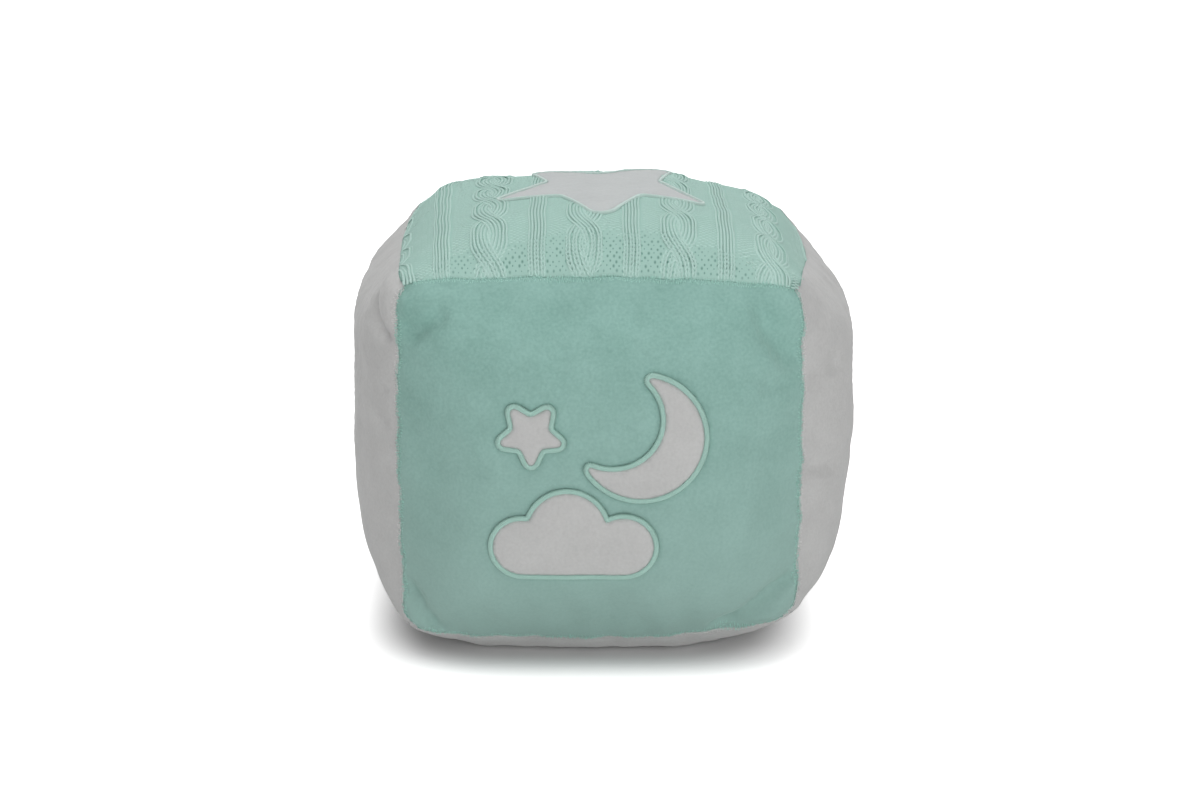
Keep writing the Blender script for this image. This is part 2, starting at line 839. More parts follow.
@dataclass(frozen=True)
class Cloth:
    """A textile finish: colour, pile or yarn scale, and how it catches light.

    Attributes:
        name: material name, the textile and how it was made.
        colour: sRGB hex of the cloth in plain light.
        shade: sRGB hex of the colour down between the fibres.
        grain_mm: size of the finest fibre clump that is drawn.
        patch_mm: size of the brushed patches, where the pile leans another way.
        patch_depth: how much these differ in tone, 0 to 1.
        bump_mm: height of the grain.
        sheen: sheen weight, the soft bright rim of raised fibres.
        sheen_tint: sRGB hex of that rim.
        roughness: surface roughness.
        worn: sRGB hex that the cloth has greyed towards near the floor, or None.
        pinholes: sRGB hex of the dark between pulled loops, at whole numbers of the piece's loops attribute,
            or None.
    """

    name: str
    colour: str
    shade: str
    grain_mm: float
    patch_mm: float
    patch_depth: float
    bump_mm: float
    sheen: float
    sheen_tint: str
    roughness: float = 0.95
    worn: Optional[str] = None
    pinholes: Optional[str] = None

    def blend(self, tree: bpy.types.NodeTree, share: Socket, first: Socket | tuple, tint: str) -> Socket:
        """Mix two colours.

        Args:
            tree: the material's nodes.
            share: how much of the second colour there is.
            first: the first colour.
            tint: sRGB hex of the second.
        Returns:
            The mixed colour.
        """
        mixed = add_node(tree, "Mix", {"Factor": share, "A": first, "B": linear(tint)}, data_type="RGBA")
        return mixed.outputs["Result"]

    def loop_holes(self, tree: bpy.types.NodeTree) -> Socket:
        """Uneven small holes between the loops, as far as these are open.

        Args:
            tree: the material's nodes.
        Returns:
            How dark it is at each place, 0 to 1.
        """
        loops = add_node(tree, "Attribute", attribute_name="loops").outputs["Vector"]
        nearest = add_node(tree, "TexVoronoi", {
            "Vector": loops, "Scale": 1.0, "Randomness": 0.3,
        }, voronoi_dimensions="2D")
        size = add_node(tree, "MapRange", {
            "Value": nearest.outputs["Color"], "From Min": 0.3, "From Max": 0.7,
            "To Min": 0.14, "To Max": 0.37,
        })
        dark = add_node(tree, "MapRange", {
            "Value": nearest.outputs["Distance"], "From Min": 0.08, "From Max": size.outputs["Result"],
            "To Min": 1.0, "To Max": 0.0,
        })
        opened = add_node(tree, "SeparateXYZ", {0: loops}).outputs["Z"]
        both = add_node(tree, "Math", {0: dark.outputs["Result"], 1: opened}, operation="MULTIPLY")
        return both.outputs[0]

    def build(self) -> bpy.types.Material:
        """Make the material, with its patterns on Object coordinates.

        Returns:
            The material.
        """
        material = bpy.data.materials.new(self.name)
        material.use_nodes = True
        tree = material.node_tree
        shader = tree.nodes["Principled BSDF"]
        place = add_node(tree, "TexCoord").outputs["Object"]
        grain, patch = (
            add_node(tree, "TexNoise", {"Vector": place, "Scale": 1 / (size * MM), "Detail": detail})
            for size, detail in ((self.grain_mm, 3.0), (self.patch_mm, 2.0))
        )
        fine = add_node(tree, "MapRange", {"Value": grain.outputs["Fac"], "From Min": 0.3, "From Max": 0.7})
        broad = add_node(tree, "MapRange", {
            "Value": patch.outputs["Fac"], "From Min": 0.3, "From Max": 0.7,
            "To Min": 0.5 - self.patch_depth, "To Max": 0.5 + self.patch_depth,
        })
        shares = {0: fine.outputs["Result"], 1: broad.outputs["Result"]}
        both = add_node(tree, "Math", shares, operation="ADD")
        half = add_node(tree, "Math", {0: both.outputs[0], 1: 0.5}, operation="MULTIPLY", use_clamp=True)
        colour = self.blend(tree, half.outputs[0], linear(self.shade), self.colour)
        bump = add_node(tree, "Bump", {
            "Height": grain.outputs["Fac"], "Distance": self.bump_mm * MM, "Strength": 1.0,
        })
        if self.worn:
            height = add_node(tree, "SeparateXYZ", {0: place}).outputs["Z"]
            share = add_node(tree, "MapRange", {
                "Value": height, "From Min": 0.03, "From Max": 0.135, "To Min": 0.55, "To Max": 0.0,
            })
            colour = self.blend(tree, share.outputs["Result"], colour, self.worn)
        if self.pinholes:
            colour = self.blend(tree, self.loop_holes(tree), colour, self.pinholes)
        tree.links.new(colour, shader.inputs["Base Color"])
        tree.links.new(bump.outputs["Normal"], shader.inputs["Normal"])
        shader.inputs["Roughness"].default_value = self.roughness
        shader.inputs["Sheen Weight"].default_value = self.sheen
        shader.inputs["Sheen Roughness"].default_value = 0.45
        shader.inputs["Sheen Tint"].default_value = linear(self.sheen_tint)
        shader.inputs["Specular IOR Level"].default_value = 0.2
        return material


# The grain of real pile and yarn is 0.1 to 0.3 mm, too fine to show from the camera, so each finish draws it
# at its own coarser grain_mm.
FINISHES = {
    # Sheared pile about 1.5 mm long: a soft mottle where it leans another way and a pale rim of fibre tips.
    # Its lower part has greyed on the floor.
    "mint_velour": Cloth(
        "mint polyester velour, sheared pile", "9bc3ba", "83aca2", grain_mm=1.2, patch_mm=16.0,
        patch_depth=0.4, bump_mm=0.1, sheen=0.35, sheen_tint="d8f0e8", worn="9cb4ae",
    ),
    # The same pile undyed: matt and slightly warm, with a grain that shows in its shadow side.
    "white_velour": Cloth(
        "white polyester velour, sheared pile", "cacac9", "bcbcbb", grain_mm=1.1, patch_mm=14.0,
        patch_depth=0.4, bump_mm=0.14, sheen=0.3, sheen_tint="ffffff",
    ),
    # Fibre ends pushed up at the seams let light through, so they look paler than the cloth.
    "mint_tips": Cloth(
        "mint polyester pile, raised at the seams", "bce4da", "b0dbd0", grain_mm=1.1, patch_mm=16.0,
        patch_depth=0.2, bump_mm=0.02, sheen=0.35, sheen_tint="d8f0e8",
    ),
    # The undyed ends of the white panels, brighter than their pile for the same reason.
    "white_tips": Cloth(
        "white polyester pile, raised at the seams", "eeeeed", "e5e5e4", grain_mm=1.1, patch_mm=14.0,
        patch_depth=0.2, bump_mm=0.02, sheen=0.3, sheen_tint="ffffff",
    ),
    # Longer brushed pile: a bright, cloudy white with soft tufts.
    "star_velour": Cloth(
        "white polyester plush, brushed", "cdd1d1", "c2c6c6", grain_mm=1.1, patch_mm=14.0,
        patch_depth=0.4, bump_mm=0.14, sheen=0.3, sheen_tint="ffffff",
    ),
    # Soft twisted yarn 1 mm thick: matt, with a fine fuzz that takes the edge off each loop.
    "mint_yarn": Cloth(
        "mint cotton yarn, ring spun", "bfddd5", "b2d2c9", grain_mm=0.5, patch_mm=20.0,
        patch_depth=0.2, bump_mm=0.06, sheen=0.3, sheen_tint="e6f5f0",
    ),
    # The loops' own shade: deeper than their tops, with dark holes half a millimetre wide where they open.
    "knit_ground": Cloth(
        "mint cotton knit, inside of the loops", "abcdc3", "a1c5bb", grain_mm=0.8, patch_mm=20.0,
        patch_depth=0.2, bump_mm=0.1, sheen=0.2, sheen_tint="d8f0e8", pinholes="6b9388",
    ),
    # Smooth filament laid side by side: a silky gloss across the threads, each 0.4 mm wide.
    "satin_stitch": Cloth(
        "mint rayon embroidery thread", "c0e2d8", "b0d5ca", grain_mm=0.4, patch_mm=9.0,
        patch_depth=0.2, bump_mm=0.04, sheen=0.2, sheen_tint="f0fffa", roughness=0.5,
    ),
    # The same thread in a tint next to white, so that the star's edge shows as a soft gloss.
    "pale_satin": Cloth(
        "pale mint rayon embroidery thread", "dcebe7", "d0e3dd", grain_mm=0.4, patch_mm=9.0,
        patch_depth=0.2, bump_mm=0.04, sheen=0.2, sheen_tint="f0fffa", roughness=0.5,
    ),
    # Tightly spun sewing thread 0.4 mm thick: small plain highlights, darker than the pile it sinks in.
    "mint_thread": Cloth(
        "mint spun polyester thread", "8fb8ae", "7da499", grain_mm=0.3, patch_mm=9.0,
        patch_depth=0.2, bump_mm=0.04, sheen=0.2, sheen_tint="e6f5f0", roughness=0.7,
    ),
    # The same thread undyed, grey in the groove of a white seam.
    "white_thread": Cloth(
        "white spun polyester thread", "c9cccc", "b4b8b8", grain_mm=0.3, patch_mm=9.0,
        patch_depth=0.2, bump_mm=0.04, sheen=0.2, sheen_tint="ffffff", roughness=0.7,
    ),
    # Undyed plain weave, flat and matt, with the faint cream of raw cotton.
    "lining": Cloth(
        "undyed polycotton lining, plain weave", "c4c3bd", "b3b2ab", grain_mm=0.5, patch_mm=9.0,
        patch_depth=0.2, bump_mm=0.05, sheen=0.1, sheen_tint="ffffff",
    ),
    # Crimped fibre: a cloudy off-white with soft clumps about 6 mm across.
    "fibre": Cloth(
        "hollow polyester fibre, carded", "d2d3d2", "bcbdbc", grain_mm=0.7, patch_mm=6.0,
        patch_depth=0.4, bump_mm=0.2, sheen=0.4, sheen_tint="ffffff",
    ),
}


# Outlines of the patches

@dataclass(frozen=True)
class Outline:
    """Closed line on a panel, anticlockwise.

    Attributes:
        points: its points, in mm across and up from the panel's middle.
    """

    points: Array

    @staticmethod
    def through(points: Sequence[tuple[float, float]], rounding: float) -> "Outline":
        """Dense outline through points.

        Args:
            points: points in mm.
            rounding: length in mm over which its corners are rounded.
        Returns:
            The outline.
        """
        step = 0.25
        line = Outline(np.array(points, float)).resampled(step).points
        reach = int(rounding * 3 / step)
        steps = np.arange(-reach, reach + 1)
        weights = np.exp(-((steps * step / rounding) ** 2))
        weights /= weights.sum()
        smooth = sum(w * np.roll(line, k, axis=0) for w, k in zip(weights, steps))
        return Outline(smooth)

    def resampled(self, step: float) -> "Outline":
        """The same line with other points.

        Args:
            step: their distance along the line, in mm.
        Returns:
            The new outline.
        """
        closed = np.vstack([self.points, self.points[:1]])
        run = np.concatenate([[0.0], np.cumsum(np.hypot(*np.diff(closed, axis=0).T))])
        places = np.linspace(0.0, run[-1], max(8, round(run[-1] / step)), endpoint=False)
        return Outline(np.stack([np.interp(places, run, closed[:, k]) for k in range(2)], -1))

    def normals(self) -> Array:
        """Unit vectors square to the line, pointing outwards."""
        ahead = np.roll(self.points, -1, axis=0) - np.roll(self.points, 1, axis=0)
        return unit(np.stack([ahead[:, 1], -ahead[:, 0]], -1))

    def offset(self, distance: float) -> "Outline":
        """Line moved outwards by a distance."""
        return Outline(self.points + self.normals() * distance)

    def area(self) -> float:
        """Area inside the line in square mm."""
        x, y = self.points.T
        return abs(float(np.sum(x * np.roll(y, -1) - np.roll(x, -1) * y))) / 2

    def distance(self, x: Array, y: Array) -> Array:
        """Distance from the line.

        Args:
            x: places across, in mm.
            y: places up, in mm.
        Returns:
            The distance of each in mm, positive inside the line.
        """
        line = self.resampled(1.0).points
        after = np.roll(line, -1, axis=0)
        best = np.full(x.shape, 1e9)
        inside = np.zeros(x.shape, bool)
        for (ax, ay), (bx, by) in zip(line, after):
            dx, dy = bx - ax, by - ay
            t = np.clip(((x - ax) * dx + (y - ay) * dy) / (dx * dx + dy * dy), 0, 1)
            best = np.minimum(best, np.hypot(x - ax - t * dx, y - ay - t * dy))
            if ay != by:
                inside ^= ((ay > y) != (by > y)) & (x < ax + dx * (y - ay) / dy)
        return np.where(inside, best, -best)

    def filled(self, step: float) -> tuple[Array, list]:
        """Fill the line with nearly even triangles.

        Args:
            step: length of their sides in mm.
        Returns:
            Flat points in mm and triangles.
        """
        rim = self.resampled(step).points
        low, high = rim.min(0), rim.max(0)
        row = 0.87 * step
        x, y = np.meshgrid(np.arange(low[0], high[0], step), np.arange(low[1], high[1], row))
        x = x + (np.arange(len(x)) % 2)[:, None] * step / 2
        keep = self.distance(x.ravel(), y.ravel()) > step * 0.6
        inner = np.stack([x.ravel()[keep], y.ravel()[keep]], -1)
        flat = [Vector(p) for p in np.vstack([rim, inner])]
        count = len(rim)
        edges = [(i, (i + 1) % count) for i in range(count)]
        result = geometry.delaunay_2d_cdt(flat, edges, [list(range(count))], 1, 1e-6)
        return np.array([tuple(p) for p in result[0]]), result[2]


def arc(circle: Sequence[float], start: float, end: float) -> list[tuple[float, float]]:
    """Points on an arc, half a millimetre apart.

    Args:
        circle: x, y and radius in mm.
        start: angle of its first point in radians.
        end: angle of its last point.
    Returns:
        The points.
    """
    x, y, radius = circle
    count = max(2, math.ceil(abs(end - start) * radius / 0.5))
    angles = [start + (end - start) * i / count for i in range(count + 1)]
    return [(x + radius * math.cos(a), y + radius * math.sin(a)) for a in angles]


def circle_crossing(first: Sequence[float], second: Sequence[float], side: int) -> Vector:
    """Where two circles cross.

    Args:
        first: x, y and radius in mm.
        second: the same of the other.
        side: 1 for the crossing left of the line from the first to the second, -1 for the right one.
    Returns:
        The point.
    """
    a, b = Vector(first[:2]), Vector(second[:2])
    span = (b - a).length
    along = (span**2 + first[2] ** 2 - second[2] ** 2) / (2 * span)
    height = math.sqrt(first[2] ** 2 - along**2)
    direction = (b - a) / span
    return a + direction * along + Vector((-direction.y, direction.x)) * height * side


def bearing(circle: Sequence[float], point: Vector) -> float:
    """Angle of a point seen from a circle's centre."""
    return math.atan2(point[1] - circle[1], point[0] - circle[0])


def regular_star(centre: tuple[float, float], radius: float) -> list[tuple[float, float]]:
    """Corners of an even five-pointed star with one point down.

    Args:
        centre: its middle in mm.
        radius: reach of its points in mm.
    Returns:
        Its ten corners, points and valleys in turn.
    """
    valley = 0.47 * radius
    corners = []
    for k in range(10):
        reach, angle = (valley if k % 2 else radius), math.radians(-90 + 36 * k)
        corners.append((centre[0] + reach * math.cos(angle), centre[1] + reach * math.sin(angle)))
    return corners


def star(corners: Sequence[tuple[float, float]], rounding: Sequence[float]) -> Outline:
    """Star with rounded points and valleys.

    Args:
        corners: its corners, anticlockwise.
        rounding: radius at each of them.
    Returns:
        Its outline.
    """
    line = [Vector(corner) for corner in corners]
    chords = 8
    points = []
    for k, (here, fillet) in enumerate(zip(line, rounding)):
        to_last = (line[k - 1] - here).normalized()
        to_next = (line[(k + 1) % len(line)] - here).normalized()
        half_angle = to_last.angle(to_next) / 2
        middle = here + (to_last + to_next).normalized() * fillet / math.sin(half_angle)
        start = here + to_last * fillet / math.tan(half_angle) - middle
        turned = start.angle_signed(here + to_next * fillet / math.tan(half_angle) - middle)
        turns = [Matrix.Rotation(-turned * i / chords, 2) for i in range(chords + 1)]
        points += [tuple(middle + turn @ start) for turn in turns]
    return Outline.through(points, 0.5)


def moon(disc: tuple[float, float, float], bite: tuple[float, float, float]) -> Outline:
    """Crescent: a disc with a bite taken out of its upper left.

    Args:
        disc: x, y and radius in mm.
        bite: the same of the circle that is taken out.
    Returns:
        Its outline.
    """
    upper, lower = circle_crossing(disc, bite, -1), circle_crossing(disc, bite, 1)
    trim, full_turn = 0.15, 2 * math.pi
    start, end = bearing(disc, lower) + trim, bearing(disc, upper) - trim
    outer = arc(disc, start, end + (full_turn if end < start else 0))
    start, end = bearing(bite, upper) - trim, bearing(bite, lower) + trim
    inner = arc(bite, start, end - (full_turn if end > start else 0))
    return Outline.through(outer + inner, 0.9)


def cloud(left: Sequence[float], middle: Sequence[float], right: Sequence[float]) -> Outline:
    """Three round lobes over a straight base.

    Args:
        left: x, y and radius of the first lobe in mm.
        middle: the same of the second.
        right: the same of the third.
    Returns:
        Its outline.
    """
    first, second = circle_crossing(left, middle, 1), circle_crossing(middle, right, 1)
    points = arc(right, -math.pi / 2, bearing(right, second))
    points += arc(middle, bearing(middle, second), bearing(middle, first))[1:]
    points += arc(left, bearing(left, first), 1.5 * math.pi)[1:]
    return Outline.through(points, 0.8)


# Velour panels and patches

@dataclass
class VelourPanel:
    """One velour panel: crowned sheet with brushed pile, rolled into its seams and turned in.

    Attributes:
        cover: the stuffed cover.
        side: which panel.
        finish: its material.
        slot: the record's slot of that cloth.
        pressed: outlines along which embroidery presses the pile down.
        thickness: cloth and pile, in mm.
        roll: radius of the roll into the seam, in mm.
        pinch: how far the seams pull each corner in, in mm.
        pinch_reach: how far from the corner that shows, in mm.
        allowance: width turned in behind the seam, in mm.
        nap: how uneven the pile is, as a share of the velour's.
        ruffle: height in mm of the soft crosswise crinkles in the pile towards the panel's top.
        tufts: fibres of raised pile per mm of seam.
        tufted: which seams show it: those at its left, right, bottom and top are 0, 1, 2 and 3.
        tips: material of that pile.
        seed: seed of its pile.
    """

    cover: Cover
    side: Side
    finish: bpy.types.Material
    slot: str
    pressed: Sequence[Outline] = ()
    thickness: float = 1.8
    roll: float = 1.0
    pinch: float = 1.6
    pinch_reach: float = 4.5
    allowance: float = 6.0
    nap: float = 1.0
    ruffle: float = 0.0
    tufts: float = 9.0
    tufted: tuple[int, ...] = (0, 1, 2, 3)
    tips: Optional[bpy.types.Material] = None
    seed: int = 1

    def corner_dip(self, u: Array, v: Array) -> Array:
        """How far the corners' seams pull the cloth in, in mm."""
        corner = np.hypot(1 - np.abs(u), 1 - np.abs(v)) * SEAM_HALF
        return self.pinch * np.exp(-((corner / self.pinch_reach) ** 2))

    def pile(self, u: Array, v: Array) -> Array:
        """Height of the brushed pile, rougher on the upper half.

        Args:
            u: places across the panel.
            v: places up it.
        Returns:
            The height in mm at each place.
        """
        upper = ease(v, -0.6, 0.5)
        broad = 0.25 * soft_noise(u, v, 22, self.seed)
        clump = (0.05 + 0.12 * upper) * soft_noise(u, v, 70, self.seed + 1)
        fine = (0.03 + 0.06 * upper) * soft_noise(u, v, 130, self.seed + 2)
        crinkle = self.ruffle * upper * soft_noise(0.4 * u, v, 80, self.seed + 3)
        return self.nap * (broad + clump + fine) + crinkle

    def press(self, u: Array, v: Array) -> Array:
        """How the embroidery presses the cloth: most under its borders, and less under its patches.

        Args:
            u: places across the panel.
            v: places up it.
        Returns:
            The depth in mm at each place.
        """
        under_border, reach, under_patch = 1.1, 2.2, 0.7
        x, y = self.cover.flat_place(self.side, u, v)
        depth = np.zeros(u.shape)
        for outline in self.pressed:
            gap = outline.distance(x, y)
            depth = np.maximum(depth, under_border * np.exp(-((gap / reach) ** 2)))
            depth = np.where(gap > 0, np.maximum(depth, under_patch), depth)
        return depth

    def shape(self, flat: Array) -> Array:
        """Lay the outer face over the cover, rolled in at its seams.

        Args:
            flat: points of a grid from -1 to 1, which takes in the allowance.
        Returns:
            World points in metres.
        """
        spread = flat[:, :2] * (1 + self.allowance / SEAM_HALF)
        u, v = np.clip(spread[:, 0], -1, 1), np.clip(spread[:, 1], -1, 1)
        inward = np.maximum(np.abs(spread) - 1, 0).max(1) * SEAM_HALF
        edge = np.minimum(1 - np.abs(u), 1 - np.abs(v)) * SEAM_HALF
        near = np.clip(self.roll - edge, 0, self.roll)
        dip = 0.1 * (self.roll - np.sqrt(self.roll**2 - near**2)) + self.corner_dip(u, v)
        height = self.pile(u, v) * ease(edge, 0.0, 3.0) - dip - self.press(u, v)
        points = self.cover.place(self.side, u, v, height)
        points += unit(self.cover.centre() - points) * (inward * MM)[:, None]
        keep_above(points, 0.2)
        return points

    def raised_pile(self) -> bpy.types.Object:
        """Longer pile pushed up along the seams: it hides the stitching and makes the colours meet softly.

        Returns:
            The piece.
        """
        rng = np.random.default_rng(self.seed + 7)
        count = round(2 * SEAM_HALF * len(self.tufted) * self.tufts / (1))
        s = rng.uniform(-0.985, 0.985, count)
        inset = 1 - (0.2 + 1.6 * rng.random(count) ** 1.5) / SEAM_HALF
        edge = rng.choice(self.tufted, count)
        sign = np.where(edge % 2, 1.0, -1.0)
        upright, step = edge < 2, 0.02 * sign
        u, v = np.where(upright, sign * inset, s), np.where(upright, s, sign * inset)
        back_u, back_v = np.where(upright, u - step, u), np.where(upright, v, v - step)
        root = self.cover.place(self.side, u, v, -0.15 - self.corner_dip(u, v))
        up = self.cover.normal(self.side, u, v)
        over = unit(self.cover.place(self.side, u, v) - self.cover.place(self.side, back_u, back_v))
        aside = unit(np.cross(up, over))
        wave = soft_noise(s, edge / 4.0, 26, self.seed + 8)
        length = (1.1 + 0.4 * wave) * rng.uniform(0.5, 1.0, count)
        sway = rng.uniform(-0.3, 0.3, count) * length
        lean = rng.uniform(0.7, 1.0, count) * length
        up_by, over_by, aside_by = up * length[:, None], over * lean[:, None], aside * sway[:, None]
        paths = np.stack([
            root + (up_by * a + over_by * b + aside_by * c) * MM
            for a, b, c in ((0.0, 0.0, 0.0), (0.3, 0.45, 0.3), (0.34, 1.0, 1.0))
        ], 1)
        keep_above(paths, 0.4)
        piece = add_mesh(f"{self.side.label}_seam_pile", *threads(paths, 0.07, up[:, None]))
        dress(piece, self.tips or self.finish)
        return piece

    def build(self) -> None:
        """Make the panel as a closed sheet that stands for its solid."""
        cells = 180
        sheet = flat_grid(f"{self.side.label}_velour", cells, cells)
        move_points(sheet.data, self.shape(read_points(sheet.data)))
        thicken(sheet, self.thickness)
        dress(sheet, self.finish, [f"{self.side.label}_panel"])
        pile = self.raised_pile()


@dataclass
class Applique:
    """Velour patch held down by a raised satin-stitch border.

    Attributes:
        cover: the stuffed cover.
        side: the panel it is sewn to.
        name: first part of its pieces' names.
        outline: edge of the patch.
        cloth: material of the patch.
        thread: material of the border.
        band: width of the border in mm.
        rise: height of the border's middle in mm.
        puff: height of the patch's middle above its edge in mm.
        base: height of the patch's edge above the panel in mm.
        sink: how far the border's threads go down beside that edge in mm.
        pitch: distance between the border's threads in mm.
        on: the piece it rests on.
    """

    cover: Cover
    side: Side
    name: str
    outline: Outline
    cloth: bpy.types.Material
    thread: bpy.types.Material
    band: float = 1.8
    rise: float = 0.85
    puff: float = 0.7
    base: float = 0.2
    sink: float = 0.3
    pitch: float = 0.42
    on: str = "front_velour"

    def patch(self) -> None:
        """The cloth patch, padded towards its middle."""
        flat, faces = self.outline.filled(1.3)
        inset = np.maximum(self.outline.distance(flat[:, 0], flat[:, 1]), 0.0)
        u, v = self.cover.uv_at(self.side, flat[:, 0], flat[:, 1])
        nap = 0.10 * soft_noise(u, v, 60, 71) + 0.06 * soft_noise(u, v, 130, 72)
        height = self.base + self.puff * (1 - np.exp(-inset / 1.8)) + nap
        sheet = add_mesh(f"{self.name}_cloth", self.cover.place(self.side, u, v, height), faces)
        thicken(sheet, 0.9)
        dress(sheet, self.cloth, [f"{self.name}_patch"])
        area = self.outline.area() * MM**2

    def lay(self, line: Outline, across: Array, height: Array, slant: float) -> tuple[Array, Array, Array]:
        """Lay rows of points across the border.

        Args:
            line: middle of the border.
            across: distances from it, outwards.
            height: height at each of these.
            slant: how far each row leans along the line, per mm across.
        Returns:
            World points by row, and unit vectors along the line and out of the cloth.
        """
        normals = line.normals()
        ahead = np.stack([-normals[:, 1], normals[:, 0]], -1)
        flat = line.points[:, None] + normals[:, None] * across[None, :, None]
        flat = flat + ahead[:, None] * (across * slant)[None, :, None]
        x, y = flat[..., 0].ravel(), flat[..., 1].ravel()
        u, v = self.cover.uv_at(self.side, x, y)
        high = np.broadcast_to(height, flat.shape[:2]).ravel()
        points = self.cover.place(self.side, u, v, high).reshape(*flat.shape[:2], 3)
        out = self.cover.normal(self.side, u, v).reshape(points.shape)
        along = unit(np.roll(points, -1, axis=0) - np.roll(points, 1, axis=0))
        return points, along, unit(out)

    def core(self, middle: Outline, sides: int = 8) -> MeshData:
        """Padding under the border's threads: a closed ring, flat below.

        Args:
            middle: middle line of the border.
            sides: corners of its section.
        Returns:
            Points and quads.
        """
        turns = np.linspace(0, 2 * math.pi, sides, endpoint=False)
        height = self.base * 0.5 + (self.rise - 0.35) * np.sin(turns)
        height = np.where(np.sin(turns) < -0.01, self.base * 0.5 - 0.4, height)
        ring, _, _ = self.lay(middle.resampled(1.2), 0.86 * self.band / 2 * np.cos(turns), height, 0.0)
        count = len(ring)
        i, k = np.meshgrid(np.arange(count), np.arange(sides), indexing="ij")
        here, after, beside = i * sides, (i + 1) % count * sides, (k + 1) % sides
        faces = np.stack([here + k, after + k, after + beside, here + beside], -1)
        return ring.reshape(-1, 3), faces.reshape(-1, 4)

    def arches(self, middle: Outline) -> MeshData:
        """The border's threads, each arched over the core.

        Args:
            middle: middle line of the border.
        Returns:
            Points and quads.
        """
        line = middle.resampled(self.pitch)
        count = len(line.points)
        t = np.linspace(-1, 1, 7)
        foot = self.base - self.sink
        arch = foot + (self.rise - self.base + self.sink) * np.sqrt(np.maximum(1 - t**4, 0))
        uneven = 1 + 0.05 * np.random.default_rng(count).uniform(-1, 1, (count, 1))
        paths, along, out = self.lay(line, self.band / 2 * t, arch * uneven, 0.12)
        square = np.cross(unit(np.gradient(paths, axis=1)), along)
        out = unit(square * np.sign((square * out).sum(-1, keepdims=True)))
        return tubes(paths, self.pitch * 0.52, along, out)

    def border(self) -> None:
        """The satin-stitch band, just outside the patch's edge."""
        middle = self.outline.offset(self.band * 0.35)
        piece = add_mesh(f"{self.name}_satin", *joined([self.core(middle), self.arches(middle)]))
        face_outwards(piece)
        dress(piece, self.thread, [f"{self.name}_border"])

    def build(self) -> None:
        """Make the patch and its border."""
        self.patch()
        self.border()


# Knitted top

class Stitch(Enum):
    """What a wale is knitted as."""

    CABLE = "cable"
    RIB = "rib"
    GROUND = "ground"


